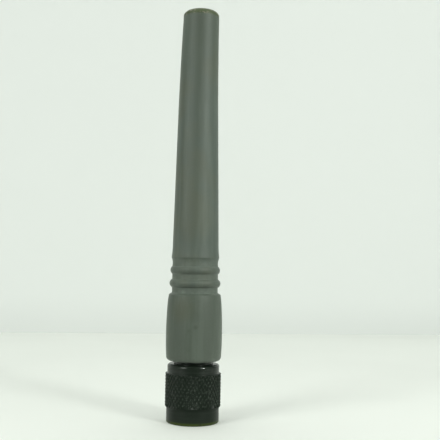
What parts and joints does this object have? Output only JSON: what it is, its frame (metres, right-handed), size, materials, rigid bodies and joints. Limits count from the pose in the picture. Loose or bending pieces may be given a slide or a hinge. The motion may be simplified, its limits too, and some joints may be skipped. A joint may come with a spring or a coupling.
{
  "type": "helical antenna",
  "caption": "Short helical whip antenna: a tapered rubber sleeve with two rolled ribs on a threaded coaxial plug with a knurled coupling nut.",
  "frame": {"origin": "centre of the coupling nut's open end face, on the axis, where the plug meets its socket", "axes": "+Z along the antenna, from the plug to the tip; turned about Z all angles look alike but for the split ring, the contact's slots and the helix's ends"},
  "size_m": [0.0152, 0.0152, 0.1116],
  "materials": {
    "black_metal": "black satin",
    "spring_steel": "bright",
    "seal_rubber": "matte",
    "plated_brass": "bright nickel",
    "white_insulator": "matte",
    "gold_contact": "gold plated",
    "bare_brass": "turned",
    "core_plastic": "natural",
    "copper_strip": "bright copper",
    "tube_plastic": "matte",
    "sleeve_rubber": "matte grey-black"
  },
  "bodies": {
    "antenna": {"retaining_ring": "spring_steel", "gasket": "seal_rubber", "outer_contact": "plated_brass", "plug_body": "black_metal", "contact_insulator": "white_insulator", "rear_insulator": "white_insulator", "centre_contact": "gold_contact", "base_bushing": "bare_brass", "feed_insulator": "white_insulator", "helix_ferrule": "bare_brass", "helix_core": "core_plastic", "radiator_helix": "copper_strip", "insulating_tube": "tube_plastic", "tip_cap": "tube_plastic", "sleeve": "sleeve_rubber"},
    "nut": {"coupling_nut": "black_metal"}
  },
  "joints": [
    {"name": "nut_spin", "type": "hinge", "parent": "antenna", "child": "nut", "pos_m": [0, 0, 0.014], "axis": [0, 0, 1], "continuous": true}
  ]
}
